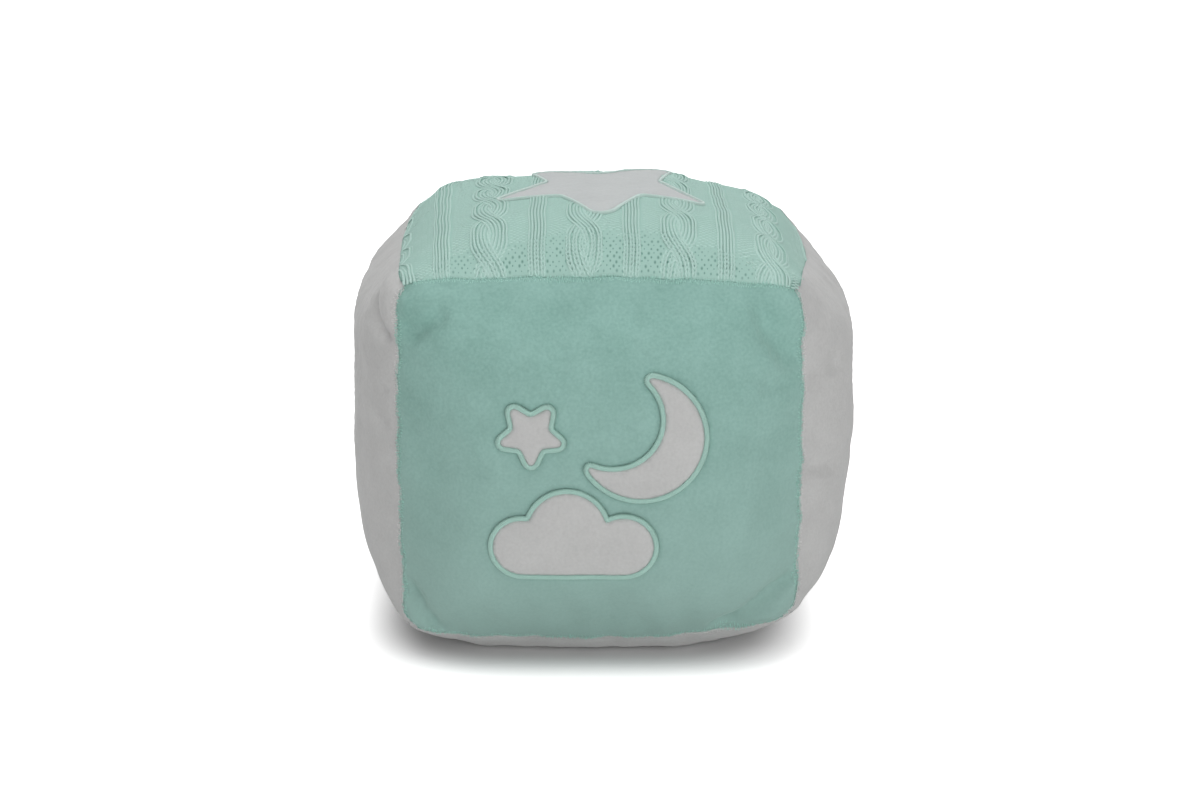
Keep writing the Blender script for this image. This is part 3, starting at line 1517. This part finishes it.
@dataclass
class CableKnit:
    """Cable-knit top panel, made stitch by stitch over a ground cloth and a woven lining.

    Attributes:
        cover: the stuffed cover.
        yarn: material of the stitches.
        ground: material of the cloth seen between them.
        lining: material of the lining.
        star: outline of the patch that covers the middle.
        pitch: width of a wale in mm.
        start: left edge of the first whole wale in mm.
        first: number of the leftmost wale, which begins a cable.
        wales: how many wales there are.
        repeat: wales from one cable's left edge to the next one's.
        courses: rows of stitches up the panel.
        period: distance between a cable's crossings in mm.
        phases: where each cable crosses, in mm up the panel, from left to right.
        ground_height: level of the ground stitches in mm.
        seam_height: level of all stitches at the seams in mm.
        rib_height: level of the ribs in mm.
        cable_height: level of the cables' middle in mm.
        cable_lift: how far a strand rises or dives at a crossing in mm.
    """

    cover: Cover
    yarn: bpy.types.Material
    ground: bpy.types.Material
    lining: bpy.types.Material
    star: Outline
    pitch: float = 2.344
    start: float = -73.9
    first: int = -4
    wales: int = 71
    repeat: int = 15
    courses: int = 80
    period: float = 27.0
    phases: tuple[float, ...] = (-55.0, -67.5, -47.5, -62.0, -62.5)
    ground_height: float = -0.45
    seam_height: float = -0.3
    rib_height: float = 0.0
    cable_height: float = 0.05
    cable_lift: float = 0.22

    def kind(self, wale: int) -> tuple[Stitch, float]:
        """Part of a wale in its repeat: a cable of six wales, then ground, a rib and ground of three.

        Args:
            wale: which one.
        Returns:
            What it is, and its place from the middle of its group, in wales.
        """
        place = (wale - self.first) % self.repeat
        if place < 6:
            return Stitch.CABLE, place - 2.5
        if 9 <= place < 12:
            return Stitch.RIB, place - 10.0
        return Stitch.GROUND, (place - 6) % 6 - 1.0

    def cable_middle(self, number: int) -> float:
        """Distance of a cable's middle across the panel, in mm."""
        return self.start + (self.repeat * number - 1) * self.pitch

    def crossing(self, number: int, y: Array) -> tuple[Array, Array, Array]:
        """State of a cable at places up the panel.

        Args:
            number: which cable, counted from the left.
            y: distances up the panel in mm.
        Returns:
            How far its strands are apart (1 to -1), which is on top (1 to -1), and its narrowing in wales.
        """
        turn = math.pi * (y - self.phases[number] + self.period / 2) / self.period
        apart = np.cos(turn) / np.sqrt(np.cos(turn) ** 2 + 0.55 * np.sin(turn) ** 2)
        return apart, np.sin(turn), 1.5 * (1 - np.abs(apart)) - 0.3 * np.abs(np.sin(turn))

    def course(self, wale: int, y: Array) -> tuple[Array, Array, Array, Array]:
        """Path of a wale.

        Args:
            wale: which one.
            y: distances up the panel in mm.
        Returns:
            Distance across the panel, height, and the sideways lean and relative width of its stitches.
        """
        kind, place = self.kind(wale)
        number, part = divmod(wale - self.first, self.repeat)
        x = np.full(y.shape, self.start + (wale + 0.5) * self.pitch)
        plain = np.ones(y.shape)
        if kind is Stitch.GROUND:
            before = part < 9
            pull = np.maximum(self.crossing(number + (0 if before else 1), y)[2], 0.0)
            share = 0.6 - 0.38 * place if before else -0.6 - 0.38 * place
            x = x - share * pull * self.pitch
            return x, np.full(y.shape, self.ground_height), 0 * plain, plain + 0.38 * pull
        if kind is Stitch.RIB:
            x = x + 0.3 * np.sin(y / 5.3 + 2.0 * number) * np.sin(y / 17.0 + number)
            height = np.full(y.shape, self.rib_height - 0.15 * place**2)
            return x, height, np.full(y.shape, 0.2 * place), plain
        sign = 1.0 if place > 0 else -1.0
        offset = place - 1.5 * sign
        apart, top, _ = self.crossing(number, y)
        spread = 1 + 0.3 * np.abs(top)
        x = self.cable_middle(number) + (1.5 * sign * apart + offset * spread) * self.pitch
        height = self.cable_height + self.cable_lift * sign * top - 0.12 * offset**2
        return x, height, 0.2 * offset + 0.15 * sign * apart, spread

    def squash(self, x: Array, y: Array, kind: Stitch = Stitch.GROUND) -> Array:
        """How much relief is left near the seams and where the knit is stretched.

        Args:
            x: distances across the panel in mm.
            y: distances up it in mm.
            kind: what is knitted there.
        Returns:
            The share at each place, 0 to 1.
        """
        ends = ease(SEAM_HALF - np.abs(y), 1.0, 5.5)
        sides = ease(SEAM_HALF - np.abs(x), 0.0, 8.0)
        flatter = 0.58 * ease(np.abs(x + 4.0), 40.0, 64.0) + 0.3 * ease(y, -60.0, -25.0)
        flatter = flatter * (0.25 if kind is Stitch.RIB else 1.0)
        return 0.08 + 0.92 * ends * sides * (1 - flatter)

    def openness(self, x: Array, y: Array) -> Array:
        """How far the stitches are pulled open beside the front seam, 0 to 1, at distances in mm."""
        edge = 54.0 + 10.0 * ease(np.abs(x - 5.0), 12.0, 48.0)
        return ease(-y - edge, -8.0, 8.0) * ease(-np.abs(x), -70.0, -50.0)

    def sewn_x(self, x: Array, y: Array) -> Array:
        """Places across the panel as it was sewn: the wales don't follow the right seam over its shoulder.

        Args:
            x: distances across the settled panel in mm.
            y: distances up it in mm.
        Returns:
            The distance across at which each is sewn.
        """
        before = x
        for _ in range(5):
            before = x - self.cover.form.slide(before, y)[1]
        return before

    def lay(self, wale: int, templates: Sequence[MeshData], jitter: np.random.Generator) -> list[MeshData]:
        """All the stitches of one wale that the star doesn't cover.

        Args:
            wale: which one.
            templates: the stitch at rest, and pulled open beside the front seam if that shows.
            jitter: source of the small unevenness of the stitches.
        Returns:
            Points and quads of the stitches at rest and of the open ones.
        """
        step = 2 * SEAM_HALF / self.courses
        y = -SEAM_HALF + (np.arange(self.courses) + 0.3) * step
        x, height, lean, wide = self.course(wale, y)
        ahead_x, ahead_height, _, _ = self.course(wale, y + step)
        covered = self.star.distance(x, y) > 2.5
        x, ahead_x = self.sewn_x(x, y), self.sewn_x(ahead_x, y + step)
        kind, _ = self.kind(wale)
        squash, ahead_squash = self.squash(x, y, kind), self.squash(x, y + step, kind)
        level = self.seam_height + (height - self.seam_height) * squash
        ahead_level = self.seam_height + (ahead_height - self.seam_height) * ahead_squash
        level = level + 0.04 * jitter.uniform(-1, 1, len(level))
        reach = SEAM_HALF - 0.8
        keep = (np.abs(x) < reach) & (np.abs(ahead_x) < reach) & ~covered
        opened = self.openness(x, y) > 0.5 + 0.2 * jitter.uniform(-1, 1, len(y))
        parts = []
        for template, chosen in zip(templates, (keep & ~opened, keep & opened)):
            u, v = x[chosen] / SEAM_HALF, y[chosen] / SEAM_HALF
            ahead_u = ahead_x[chosen] / SEAM_HALF
            ahead_v = np.minimum(y[chosen] + step, SEAM_HALF) / SEAM_HALF
            origin = self.cover.place(Side.TOP, u, v, level[chosen])
            ahead = self.cover.place(Side.TOP, ahead_u, ahead_v, ahead_level[chosen])
            beside = self.cover.place(Side.TOP, np.minimum(u + 0.01, 1.0), v, level[chosen])
            along = ahead - origin
            row = unit(beside - origin)
            normal = unit(self.cover.normal(Side.TOP, u, v) + lean[chosen, None] * row)
            aside = unit(np.cross(along, normal))
            width = self.pitch * wide[chosen] * np.clip((aside * row).sum(1), 0.5, 1.0) * MM
            flat = (0.4 + 0.6 * squash[chosen]) * MM
            parts.append(copies(template, origin, aside * width[:, None], along, normal * flat[:, None]))
        return parts

    def knit_template(self, gap: float) -> MeshData:
        """The two legs of a knit stitch: X in wales, Y in courses, Z in mm.

        Args:
            gap: how far the legs lean to the stitch's foot, which opens a hole between them, in wales.
        Returns:
            Points and quads.
        """
        course = [
            (0.27 - gap, -0.3, -0.2), (0.27 - 0.8 * gap, 0.12, 0.03), (0.27, 0.5, 0.08),
            (0.27 + 0.2 * gap, 0.9, 0.03), (0.27 + 0.2 * gap, 1.3, -0.2),
        ]
        slim = 1.0 - 1.6 * gap
        foot, leg, middle = (0.15 * slim, 0.24), (0.22 * slim, 0.34), (0.235 * slim, 0.36)
        legs = []
        for sign in (1, -1):
            centres = [Vector((sign * x, y, z)) for x, y, z in course]
            legs.append(yarn_template(centres, [foot, leg, middle, leg, foot], 6))
        return joined(legs)

    def purl_template(self) -> MeshData:
        """The two bumps of a purl stitch, in the knit stitch's units.

        Returns:
            Points and quads.
        """
        upper = [(-0.42, 0.04, -0.25), (-0.16, 0.1, 0.0), (0.16, 0.1, 0.0), (0.42, 0.04, -0.25)]
        lower = [(x + 0.5, 0.7 - y, z) for x, y, z in upper]
        radii = [(0.2, 0.14), (0.29, 0.2), (0.29, 0.2), (0.2, 0.14)]
        bumps = [[Vector(centre) for centre in bump] for bump in (upper, lower)]
        return joined([yarn_template(bump, radii, 4, crosswise=True) for bump in bumps])

    def stitches(self) -> list[bpy.types.Object]:
        """Make every stitch.

        Returns:
            One piece for each cable, one for the ribs and one for the ground.
        """
        knit = (self.knit_template(0.03), self.knit_template(0.17))
        purl = (self.purl_template(),)
        groups: dict[str, list] = {}
        jitter = np.random.default_rng(5)
        for wale in range(self.first, self.first + self.wales):
            kind, _ = self.kind(wale)
            number = (wale - self.first) // self.repeat + 1
            name = f"cable_{number}" if kind is Stitch.CABLE else kind.value
            templates = purl if kind is Stitch.GROUND else knit
            groups.setdefault(name, []).extend(self.lay(wale, templates, jitter))
        pieces = []
        for name, parts in groups.items():
            piece = add_mesh(f"knit_{name}_stitches", *joined(parts))
            dress(piece, self.yarn)
            pieces.append(piece)
        return pieces

    def ground_cloth(self) -> bpy.types.Object:
        """Back of the knit, seen between the stitches and turned in at the seams like the velour panels.

        Returns:
            The piece.
        """
        panel = VelourPanel(
            self.cover, Side.TOP, self.ground, "mint_knit", thickness=1.0, roll=1.2, nap=0.15, seed=91,
        )
        sheet = flat_grid("knit_ground", *(((200, 150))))
        flat = read_points(sheet.data)
        points = panel.shape(flat)
        spread = np.clip(flat[:, :2] * (1 + panel.allowance / SEAM_HALF), -1, 1)
        x, y = (spread * SEAM_HALF).T
        relief, rise = self.ground_height - self.seam_height + self.underlay(x), 0.06
        height = self.seam_height + relief * self.squash(x, y) + rise
        points += self.cover.normal(Side.TOP, spread[:, 0], spread[:, 1]) * height[:, None] * MM
        loops = sheet.data.attributes.new("loops", "FLOAT_VECTOR", "POINT")
        loops.data.foreach_set("vector", self.loop_places(x, y).ravel())
        move_points(sheet.data, points)
        thicken(sheet, panel.thickness)
        dress(sheet, self.ground, ["top_panel"])
        return sheet

    def loop_places(self, x: Array, y: Array) -> Array:
        """Where holes open between the loops.

        Args:
            x: distances across the panel in mm.
            y: distances up it in mm.
        Returns:
            Two numbers that are whole in the middle of a hole, and how open it is, 0 to 1.
        """
        rows = 1.9
        wale, course = (x - self.start) / self.pitch, y / rows
        opened = self.openness(x, y) * ease(y, -74.5, -71.5)
        return np.stack([wale + course / 2, wale - course / 2, opened], -1)

    def underlay(self, x: Array) -> Array:
        """How far the cloth swells up under the cables and the ribs, which keeps their gaps shallow.

        Args:
            x: distances across the panel in mm.
        Returns:
            The height in mm at each place.
        """
        total = np.zeros(x.shape)
        for number in range(len(self.phases)):
            cable = self.cable_middle(number)
            rib = cable + self.repeat / 2 * self.pitch
            for middle, width, height in ((cable, 5.0, 0.4), (rib, 3.0, 0.12)):
                total += height * np.exp(-(((x - middle) / width) ** 4))
        return total

    def lining_cloth(self) -> None:
        """Woven lining under the knit, a little uneven. It ends inside the seam allowances."""
        cells, reach, depth = 60, 0.82, 3.5
        sheet = flat_grid("knit_lining", cells, cells)
        u, v = (read_points(sheet.data)[:, :2] * reach).T
        weave = 0.06 * np.sin(u * 300) * np.sin(v * 300)
        move_points(sheet.data, self.cover.place(Side.TOP, u, v, weave - depth))
        thicken(sheet, 0.4)
        dress(sheet, self.lining, ["knit_backing"])

    def build(self) -> None:
        """Make the lining, the ground cloth and the stitches."""
        self.lining_cloth()
        ground = self.ground_cloth()
        stitches = self.stitches()


# Filling and sewing thread

@dataclass
class Filling:
    """Fluffy fibre filling, pressed into the cover.

    Attributes:
        cover: the stuffed cover.
        finish: its material.
        depth: how far it lies behind the velour's face, in mm.
        lining_depth: the same under the knit and its lining.
        rim_depth: the same at the seams, behind the turned-in allowances.
    """

    cover: Cover
    finish: bpy.types.Material
    depth: float = 2.8
    lining_depth: float = 5.0
    rim_depth: float = 9.0

    def build(self) -> None:
        """Make the filling from the cover's nets, welded and lumpy, clear of the panel it stands on."""
        parts = []
        for side, net in self.cover.nets.items():
            rows, columns = net.shape[:2]
            v, u = np.meshgrid(np.linspace(-1, 1, rows), np.linspace(-1, 1, columns), indexing="ij")
            edge = np.maximum(np.abs(u), np.abs(v)) ** 6
            flat = self.lining_depth if side is Side.TOP else self.depth
            depth = flat + (self.rim_depth - flat) * edge
            inner = net + unit(self.cover.centre() - net) * depth[..., None] * MM
            parts.append((inner.reshape(-1, 3), quad_grid(rows, columns)))
        points, faces = joined(parts)
        lumps_per_metre = 90
        tufts = np.array([noise.fractal(Vector(p) * lumps_per_metre, 0.8, 2.2, 3) for p in points])
        points = points + unit(self.cover.centre() - points) * (0.6 + 0.5 * tufts[:, None]).clip(0, 2) * MM
        keep_above(points, 2.4)
        piece = add_mesh("filling", points, faces)
        face_outwards(piece, weld=0.4)
        dress(piece, self.finish, ["fibre_filling"])


@dataclass
class SeamSewing:
    """Thread of the machine seams and of the hand-sewn closing.

    Attributes:
        cover: the stuffed cover.
        mint: thread of the seams that join a mint panel.
        white: thread of the seams between white panels.
        stitch: length of a stitch in mm.
        radius: thread radius in mm.
        opening: half length of the closed opening in mm.
        ladder: distance between its hand stitches in mm.
    """

    cover: Cover
    mint: bpy.types.Material
    white: bpy.types.Material
    stitch: float = 2.6
    radius: float = 0.22
    opening: float = 33.0
    ladder: float = 2.0

    def seam(self, first: Side, second: Side, s: Array) -> tuple[Array, Array, Array]:
        """Points on a seam.

        Args:
            first: one of the two panels it joins.
            second: the other.
            s: places along it, -1 to 1.
        Returns:
            World points in metres, the direction along the seam and the one out of its groove.
        """
        along = np.cross(first.normal, second.normal)
        along = along * (1 if along.sum() > 0 else -1)
        u = first.across @ second.normal + s * (first.across @ along)
        v = first.up @ second.normal + s * (first.up @ along)
        points = self.cover.place(first, u, v)
        out = unit(first.normal + second.normal)
        return points, np.broadcast_to(along, points.shape), np.broadcast_to(out, points.shape)

    def run(self, name: str, first: Side, second: Side, start: float, end: float) -> None:
        """Row of lockstitches along one run of a seam, sunk in the pile.

        Args:
            name: node of the run's thread.
            first: one of the two panels that the seam joins.
            second: the other.
            start: place along the seam where the run starts, -1 to 1.
            end: place where it ends.
        """
        length = (end - start) * SEAM_HALF
        count = round(length / self.stitch)
        rings = np.linspace(0.04, 0.96, 5)
        s = start + (end - start) * (np.arange(count)[:, None] + rings[None]) / count
        points, _, out = self.seam(first, second, s.ravel())
        bow = np.tile(np.sin(np.pi * rings), count)[:, None]
        paths = points + out * (bow * 0.25 - 0.7) * MM
        keep_above(paths, 0.4)
        shape = (count, len(rings), 3)
        laid = threads(paths.reshape(shape), self.radius, out.reshape(shape))
        piece = add_mesh(f"{name}_stitches", *laid)
        plain = {first, second} <= {Side.LEFT, Side.RIGHT, Side.BOTTOM}
        dress(piece, self.white if plain else self.mint, [name])

    def closing(self) -> None:
        """Ladder stitch that closes the opening in the back bottom seam."""
        count = round(2 * self.opening / self.ladder)
        s = (-self.opening + self.ladder * (np.arange(count) + 0.5)) / SEAM_HALF
        points, along, out = self.seam(Side.BACK, Side.BOTTOM, s)
        across = unit(Side.BACK.normal - Side.BOTTOM.normal)
        t = np.linspace(-1, 1, 6)
        arch = 0.35 + 0.4 * (1 - t**2)
        lean = 0.3 * np.where(np.arange(count) % 2, 1, -1)[:, None] * t[None]
        paths = points[:, None] + across * (t * 1.2)[None, :, None] * MM
        paths = paths + out[:, None] * arch[None, :, None] * MM + along[:, None] * lean[..., None] * MM
        keep_above(paths, 0.4)
        piece = add_mesh("closing_ladder", *threads(paths, 0.28, out[:, None]))
        dress(piece, self.white, ["closing_stitch"])

    def build(self) -> None:
        """Sew the twelve seams and the closing."""
        walls = (Side.FRONT, Side.LEFT, Side.RIGHT, Side.BACK)
        pairs = [(wall, edge) for wall in (Side.FRONT, Side.BACK) for edge in (Side.LEFT, Side.RIGHT)]
        pairs += [(wall, edge) for wall in walls for edge in (Side.TOP, Side.BOTTOM)]
        reach, gap = 0.955, 4.0
        stop = (self.opening + gap) / SEAM_HALF
        for first, second in pairs:
            name = f"seam_thread_{first.label}_{second.label}"
            if (first, second) == (Side.BACK, Side.BOTTOM):
                self.run(f"{name}_left", first, second, -reach, -stop)
                self.run(f"{name}_right", first, second, stop, reach)
            else:
                self.run(name, first, second, -reach, reach)
        self.closing()


# Studio

@dataclass
class Lamp:
    """Square soft lamp aimed at the block.

    Attributes:
        name: its name.
        place: where it hangs, in metres.
        size: length of its sides in metres.
        power: in watts.
    """

    name: str
    place: tuple[float, float, float]
    size: float
    power: float

    def build(self) -> None:
        """Make the lamp."""
        light = bpy.data.lights.new(self.name, "AREA")
        light.size = self.size
        light.energy = self.power
        lamp = bpy.data.objects.new(self.name, light)
        bpy.context.scene.collection.objects.link(lamp)
        lamp.location = self.place
        to_block = Vector((0, 0, 0.08)) - Vector(self.place)
        lamp.rotation_euler = to_block.to_track_quat("-Z", "Y").to_euler()


@dataclass
class Studio:
    """White sweep, soft lamps and the photograph's view.

    Attributes:
        aim: point that the camera looks at, in mm.
        distance: the camera's distance from it in mm.
        elevation: height of its view in degrees.
        lens: focal length in mm, on a sensor 36 mm wide.
        ambient: strength of the world's light.
        bounce: share of the floor's own white that also lights the block.
        lamps: the lamps.
    """

    aim: tuple[float, float, float] = (0.0, 0.0, 81.5)
    distance: float = 1000.0
    elevation: float = 16.5
    lens: float = 75.0
    ambient: float = 0.25
    bounce: float = 0.09
    lamps: tuple[Lamp, ...] = (
        Lamp("overhead softbox", (-0.2, 0.3, 1.4), 1.6, 14.8),
        Lamp("front softbox", (0.15, -1.3, 0.15), 1.2, 10.5),
        Lamp("right softbox", (1.2, -0.8, 0.3), 1.0, 2.6),
    )

    def build(self) -> None:
        """Make the floor, world, lamps and camera."""
        self.floor()
        self.world()
        for lamp in self.lamps:
            lamp.build()
        self.camera()

    def floor(self) -> None:
        """Pale paper that keeps the block's contact shadow, and reads as white past it."""
        bpy.ops.object.select_all(action="DESELECT")
        bpy.ops.mesh.primitive_plane_add(size=8.0, location=(0, 0, -0.0003))
        ground = bpy.context.object
        ground.name = "studio_floor"
        # Uncoated paper scatters light evenly, so nothing on it shows but the soft shadow.
        material = bpy.data.materials.new("matt white paper")
        material.use_nodes = True
        tree = material.node_tree
        tree.nodes.clear()
        paper = add_node(tree, "BsdfDiffuse", {"Color": linear("e0e0e0")})
        place = add_node(tree, "SeparateXYZ", {0: add_node(tree, "TexCoord").outputs["Object"]})
        x = add_node(tree, "Math", {0: place.outputs["X"], 1: 0.006}, operation="ADD")
        x4 = add_node(tree, "Math", {0: x.outputs[0], 1: 4.0}, operation="POWER")
        y4 = add_node(tree, "Math", {0: place.outputs["Y"], 1: 4.0}, operation="POWER")
        total = add_node(tree, "Math", {0: x4.outputs[0], 1: y4.outputs[0]}, operation="ADD")
        radius = add_node(tree, "Math", {0: total.outputs[0], 1: 0.25}, operation="POWER")
        rise = add_node(tree, "MapRange", {
            "Value": radius.outputs[0], "From Min": 0.067, "From Max": 0.1, "To Min": 0.0, "To Max": 0.9,
        }, interpolation_type="SMOOTHSTEP")
        glow = add_node(tree, "Emission", {"Color": (1, 1, 1, 1), "Strength": rise.outputs["Result"]})
        lit = add_node(tree, "AddShader", {0: paper.outputs[0], 1: glow.outputs[0]})
        ray = add_node(tree, "LightPath")
        share = add_node(tree, "MapRange", {"Value": ray.outputs["Is Camera Ray"], "To Min": self.bounce})
        seen = add_node(tree, "MixShader", {
            "Fac": share.outputs["Result"], 1: paper.outputs[0], 2: lit.outputs[0],
        })
        add_node(tree, "OutputMaterial", {"Surface": seen.outputs[0]})
        ground.data.materials.append(material)

    def world(self) -> None:
        """Even white surroundings: full white to the camera, softer as light."""
        world = bpy.data.worlds.new("white studio")
        bpy.context.scene.world = world
        world.use_nodes = True
        tree = world.node_tree
        tree.nodes.clear()
        light = add_node(tree, "Background", {"Color": (1, 1, 1, 1), "Strength": self.ambient})
        white = add_node(tree, "Background", {"Color": (1, 1, 1, 1), "Strength": 1.0})
        ray = add_node(tree, "LightPath")
        seen = add_node(tree, "MixShader", {
            "Fac": ray.outputs["Is Camera Ray"], 1: light.outputs[0], 2: white.outputs[0],
        })
        add_node(tree, "OutputWorld", {"Surface": seen.outputs[0]})

    def camera(self) -> None:
        """Camera at the photograph's height, distance and framing."""
        angle = math.radians(self.elevation)
        aim = Vector(self.aim) * MM
        place = aim + Vector((0, -math.cos(angle), math.sin(angle))) * self.distance * MM
        data = bpy.data.cameras.new("camera")
        data.lens = self.lens
        data.sensor_width = 36.0
        camera = bpy.data.objects.new("camera", data)
        bpy.context.scene.collection.objects.link(camera)
        camera.location = place
        camera.rotation_euler = (aim - place).to_track_quat("-Z", "Y").to_euler()
        bpy.context.scene.camera = camera


# Creases and ridges as they lie in the photograph: path in mm, depth, half width and fading tip.
FOLDS = [
    Fold(Side.LEFT, ((60.5, 62.0), (61.5, 52.0), (67.0, 47.5), (75.0, 45.5)), -3.4, 3.0, 7.0),
    Fold(Side.LEFT, ((63.0, 26.0), (73.0, 22.4)), -1.2, 2.4, 5.0),
    Fold(Side.LEFT, ((59.0, 16.5), (72.0, 10.5)), -1.2, 2.6, 6.0),
    Fold(Side.FRONT, ((-77.0, 61.0), (-66.0, 60.5), (-58.0, 64.0)), 1.6, 4.5, 6.0),
    Fold(Side.FRONT, ((-77.0, 53.0), (-68.0, 50.8), (-60.4, 54.5), (-55.0, 61.0)), -3.2, 3.8, 8.0),
    Fold(Side.FRONT, ((-40.0, 61.0), (-30.0, 57.5)), -0.8, 2.6, 6.0),
    Fold(Side.FRONT, ((58.5, 68.0), (61.0, 57.0), (65.0, 49.5), (68.5, 42.5), (77.0, 39.5)), -3.8, 4.8, 9.0),
    Fold(Side.FRONT, ((58.0, 42.0), (66.0, 37.8), (77.0, 36.8)), 1.2, 4.0, 8.0),
    Fold(Side.FRONT, ((56.0, 32.0), (66.0, 32.4), (77.0, 33.0)), -1.6, 3.8, 8.0),
    Fold(
        Side.FRONT, ((42.0, -73.0), (48.0, -66.0), (57.0, -60.5), (65.0, -54.0), (77.0, -50.5)),
        -5.0, 4.2, 7.0,
    ),
    Fold(Side.FRONT, ((-78.0, -48.0), (-69.0, -55.0), (-64.0, -67.0), (-63.0, -75.0)), -3.6, 3.8, 6.0),
    Fold(Side.RIGHT, ((-76.0, -3.0), (-50.0, -11.0)), -1.8, 3.6, 8.0),
    Fold(Side.RIGHT, ((-75.0, 28.0), (-52.0, 36.0)), -2.0, 4.4, 8.0),
]
# Broader bulges and dents, which draw the photograph's outline: middle and radii in mm, and depth.
SWELLS = [
    Swell(Side.LEFT, (67.0, 60.0), (9.5, 11.0), 3.0),
    Swell(Side.FRONT, (66.0, -63.0), (9.0, 7.0), 1.6),
    Swell(Side.FRONT, (-71.0, -65.0), (5.0, 7.0), 1.4),
    Swell(Side.LEFT, (0.0, 52.0), (52.0, 13.0), 4.0),
    Swell(Side.LEFT, (0.0, -62.0), (55.0, 10.0), 3.0),
    Swell(Side.RIGHT, (-30.0, 6.0), (16.0, 8.0), 1.0),
    Swell(Side.RIGHT, (0.0, 45.0), (50.0, 16.0), 2.2),
    Swell(Side.RIGHT, (0.0, -30.0), (50.0, 14.0), -2.0),
    Swell(Side.RIGHT, (-20.0, -60.0), (45.0, 10.0), 2.2),
    Swell(Side.TOP, (14.0, 32.0), (20.0, 28.0), 1.2),
    Swell(Side.TOP, (-34.0, 30.0), (12.0, 28.0), -1.2),
    Swell(Side.TOP, (-60.0, 20.0), (12.0, 30.0), 3.0),
    Swell(Side.TOP, (48.0, 25.0), (14.0, 32.0), -2.0),
    Swell(Side.TOP, (70.0, 15.0), (6.0, 30.0), 0.8),
]

# Corners of the star on the knit, points and valleys in turn. The two far points are guessed.
TOP_STAR = (
    (0.8, -45.6), (15.5, -11.5), (41.5, -19.8), (23.0, 12.5), (29.5, 43.0),
    (0.5, 24.0), (-28.5, 43.0), (-20.5, 12.5), (-41.0, -18.2), (-15.0, -13.0),
)
TOP_STAR_ROUNDING = (5.0, 3.5, 1.8, 3.0, 3.0, 3.0, 3.0, 3.0, 1.8, 3.5)


def main() -> None:
    """Build the dressed block and the studio."""
    logging.basicConfig(level=logging.INFO, format="%(message)s")
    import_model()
    bpy.context.scene.view_settings.view_transform = "Standard"
    Studio().build()

    finish = {name: cloth.build() for name, cloth in FINISHES.items()}
    cover = Cover(BlockForm(folds=FOLDS, swells=SWELLS), Stuffing())
    top_star = star(TOP_STAR, TOP_STAR_ROUNDING)
    motifs = {
        "moon": moon((15.0, 15.5, 23.0), (4.5, 22.5, 19.0)),
        "cloud": cloud((-28.5, -26.5, 11.0), (-12.0, -19.5, 14.5), (8.5, -26.0, 11.5)),
        "small_star": star(regular_star((-25.0, 17.0), 14.5), (1.8, 1.6) * 5),
    }
    Filling(cover, finish["fibre"]).build()
    mint, mint_tips = finish["mint_velour"], finish["mint_tips"]
    white, white_tips = finish["white_velour"], finish["white_tips"]
    VelourPanel(
        cover, Side.FRONT, mint, "mint_velour", list(motifs.values()), ruffle=0.2, seed=11, tips=mint_tips,
    ).build()
    VelourPanel(cover, Side.BACK, mint, "mint_velour", seed=21, tips=mint_tips).build()
    for side, tufted, seed in ((Side.LEFT, (0, 1), 31), (Side.RIGHT, (0, 1), 41), (Side.BOTTOM, (2, 3), 51)):
        VelourPanel(cover, side, white, "white_velour", seed=seed, tufted=tufted, tips=white_tips).build()
    CableKnit(cover, finish["mint_yarn"], finish["knit_ground"], finish["lining"], top_star).build()
    for name, outline in motifs.items():
        Applique(cover, Side.FRONT, name, outline, white, finish["satin_stitch"]).build()
    Applique(
        cover, Side.TOP, "top_star", top_star, finish["star_velour"], finish["pale_satin"],
        band=1.1, rise=0.75, puff=0.8, base=0.1, sink=0.8, pitch=0.36, on="knit_ground",
    ).build()
    SeamSewing(cover, finish["mint_thread"], finish["white_thread"]).build()


if __name__ == "__main__":
    main()
